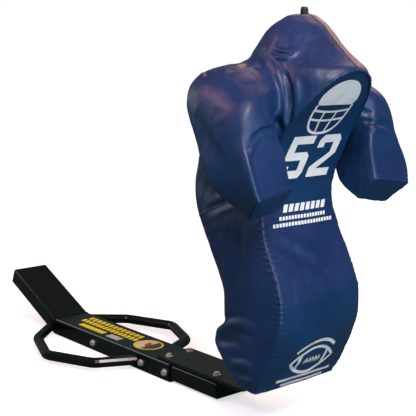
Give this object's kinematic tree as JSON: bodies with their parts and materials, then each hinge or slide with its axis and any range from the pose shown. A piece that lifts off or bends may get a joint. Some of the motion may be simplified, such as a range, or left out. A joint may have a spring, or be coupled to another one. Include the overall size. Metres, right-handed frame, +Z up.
{
  "type": "tackling dummy",
  "caption": "Hooded foam tackling figure in a navy vinyl cover on a steel leaf, in front of a low box-tube sled beam with side handles and a rising tail.",
  "frame": {"origin": "On the ground, under the middle of the straight beam: half-way between its step at the front and the bend where its tail begins to rise, on the plane of symmetry.", "axes": "+Z up, the figure faces -Y, the beam runs back along +Y, and +X is the figure's left side."},
  "size_m": [0.7368, 2.144, 1.4063],
  "materials": {
    "black_steel": "gloss black enamel over welded box tube and pipe",
    "leaf_steel": "gloss black enamel over half-inch spring steel",
    "zinc_fastener": "bright zinc plate",
    "plywood": "bare plywood",
    "foam": "charcoal polyurethane foam",
    "cover_vinyl": "navy vinyl-coated cloth, soft sheen, sewn",
    "webbing": "black nylon webbing"
  },
  "bodies": {
    "base": {"cross_bolt_1": "zinc_fastener", "cross_bolt_2": "zinc_fastener", "cross_bolt_3": "zinc_fastener", "cross_nut_1": "zinc_fastener", "cross_nut_2": "zinc_fastener", "cross_nut_3": "zinc_fastener", "cross_washer_1": "zinc_fastener", "cross_washer_2": "zinc_fastener", "cross_washer_3": "zinc_fastener", "leaf_bend": "leaf_steel", "leaf_bolt_1": "zinc_fastener", "leaf_bolt_2": "zinc_fastener", "leaf_bolt_3": "zinc_fastener", "leaf_bolt_4": "zinc_fastener", "leaf_foot": "leaf_steel", "leaf_nut_1": "zinc_fastener", "leaf_nut_2": "zinc_fastener", "leaf_nut_3": "zinc_fastener", "leaf_nut_4": "zinc_fastener", "leaf_packer": "black_steel", "leaf_washer_1": "zinc_fastener", "leaf_washer_2": "zinc_fastener", "leaf_washer_3": "zinc_fastener", "leaf_washer_4": "zinc_fastener", "nose_plate": "black_steel", "nose_tube": "black_steel", "outer_beam": "black_steel", "side_handle_left": "black_steel", "side_handle_right": "black_steel", "tail_end_plate": "black_steel", "tail_tube": "black_steel"},
    "pad": {"backing_board": "plywood", "board_bolt_1": "zinc_fastener", "board_bolt_2": "zinc_fastener", "board_bolt_3": "zinc_fastener", "board_bolt_4": "zinc_fastener", "board_nut_1": "zinc_fastener", "board_nut_2": "zinc_fastener", "board_nut_3": "zinc_fastener", "board_nut_4": "zinc_fastener", "closure_flap": "cover_vinyl", "cover_bottom": "cover_vinyl", "cover_face": "cover_vinyl", "cover_front": "cover_vinyl", "cover_hood_left": "cover_vinyl", "cover_hood_right": "cover_vinyl", "cover_side_left": "cover_vinyl", "cover_side_right": "cover_vinyl", "crown_loop": "webbing", "foam_lower_front": "foam", "foam_lower_rear": "foam", "foam_upper": "foam", "leaf_upright": "leaf_steel"},
    "arm_left": {"foam_arm_left": "foam", "sleeve_end_left": "cover_vinyl", "sleeve_left": "cover_vinyl"},
    "arm_right": {"foam_arm_right": "foam", "sleeve_end_right": "cover_vinyl", "sleeve_right": "cover_vinyl"}
  },
  "joints": [
    {"name": "pad_rock", "type": "hinge", "parent": "base", "child": "pad", "pos_m": [0, -0.9114, 0.1195], "axis": [-1, 0, 0], "range_deg": [-4, 8], "stiffness_Nm_per_rad": 9000, "deforming": ["leaf_bend"]},
    {"name": "arm_left_flex", "type": "hinge", "parent": "pad", "child": "arm_left", "pos_m": [0.169, -0.9792, 1.0899], "axis": [-1, 0, 0], "range_deg": [-12, 12], "stiffness_Nm_per_rad": 250},
    {"name": "arm_right_flex", "type": "hinge", "parent": "pad", "child": "arm_right", "pos_m": [-0.169, -0.9792, 1.0899], "axis": [-1, 0, 0], "range_deg": [-12, 12], "stiffness_Nm_per_rad": 250}
  ]
}
